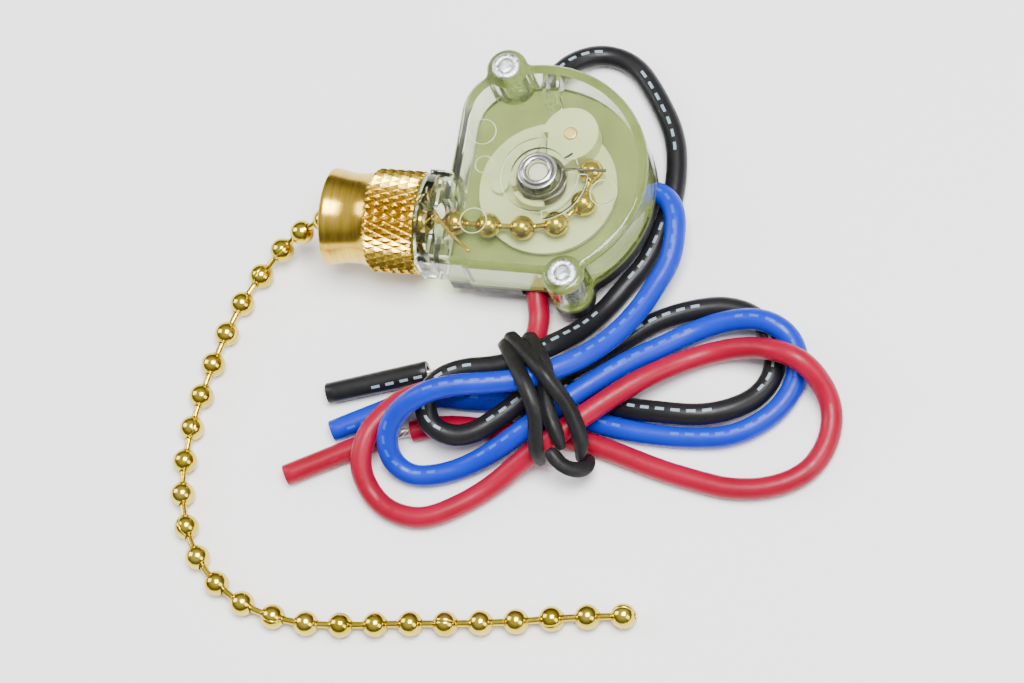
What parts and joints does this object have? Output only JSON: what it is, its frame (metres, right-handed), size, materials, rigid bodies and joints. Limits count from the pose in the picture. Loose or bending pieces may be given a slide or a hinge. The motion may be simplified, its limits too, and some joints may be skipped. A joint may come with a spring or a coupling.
{
  "type": "pull chain switch",
  "caption": "Pull-chain rotary switch: clear round cover over a chain wheel, dark base, knurled brass nut on a threaded neck, bead chain, tied wire leads.",
  "frame": {"origin": "on the flat back face, under the hub eyelet's axis", "axes": "+Z out of the clear cover along the hub axis; -X along the threaded neck and the pull direction; +Y towards the upper rivet ear"},
  "size_m": [0.0855, 0.0837, 0.0155],
  "materials": {
    "clear_cover": "clear moulded, faint yellow-green",
    "black_base": "moulded, fine texture",
    "board": "olive-green laminate sheet",
    "cream_nylon": "moulded, satin",
    "brass_small": "plain stamped",
    "brass_nut": "polished, knurled",
    "brass_chain": "bright, rolled sheet",
    "spring_steel": "dark drawn wire",
    "nickel": "nickel plated",
    "rivet_metal": "bright, headed",
    "copper": "bare stranded copper",
    "black_pvc": "extruded, satin",
    "blue_pvc": "extruded, satin",
    "red_pvc": "extruded, satin",
    "tie_vinyl": "flattened vinyl over wire"
  },
  "bodies": {
    "housing": {"front_cover": "clear_cover", "rear_base": "black_base", "insulating_plate": "board", "centre_eyelet": "nickel", "housing_rivets": "rivet_metal", "terminal_black": "brass_small", "terminal_blue": "brass_small", "terminal_red": "brass_small", "detent_spring": "spring_steel", "chain_guide": "brass_small", "black_lead": "black_pvc", "blue_lead": "blue_pvc", "red_lead": "red_pvc", "black_conductor": "copper", "blue_conductor": "copper", "red_conductor": "copper", "black_slug": "black_pvc", "blue_slug": "blue_pvc", "red_slug": "red_pvc", "wire_tie": "tie_vinyl"},
    "chain": {"neck_beads": "brass_chain", "neck_links": "brass_chain", "chain_beads": "brass_chain", "chain_links": "brass_chain"},
    "wheel": {"chain_wheel": "cream_nylon", "drive_pin": "brass_small", "pawl": "spring_steel", "return_spring": "spring_steel", "wheel_beads": "brass_chain", "wheel_links": "brass_chain"},
    "rotor": {"ratchet_rotor": "cream_nylon", "contact_bridge": "brass_small"},
    "nut": {"knurled_nut": "brass_nut"}
  },
  "joints": [
    {"name": "chain_pull", "type": "slide", "parent": "housing", "child": "chain", "axis": [-1, 0, 0], "range_m": [0, 0.0067]},
    {"name": "wheel_turn", "type": "hinge", "parent": "housing", "child": "wheel", "pos_m": [0, 0, 0.0088], "axis": [0, 0, -1], "range_deg": [0, 60.1], "stiffness_Nm_per_rad": 0.03, "springref_deg": -20.05, "deforming": ["return_spring"]},
    {"name": "rotor_turn", "type": "hinge", "parent": "housing", "child": "rotor", "pos_m": [0, 0, 0.003], "axis": [0, 0, -1], "continuous": true},
    {"name": "nut_spin", "type": "hinge", "parent": "housing", "child": "nut", "pos_m": [-0.0186, -0.00685, 0.0088], "axis": [-1, 0, 0], "continuous": true}
  ],
  "couplings": [
    {"joint": "wheel_turn", "follows": "chain_pull", "rad_per_m": 156.25}
  ]
}
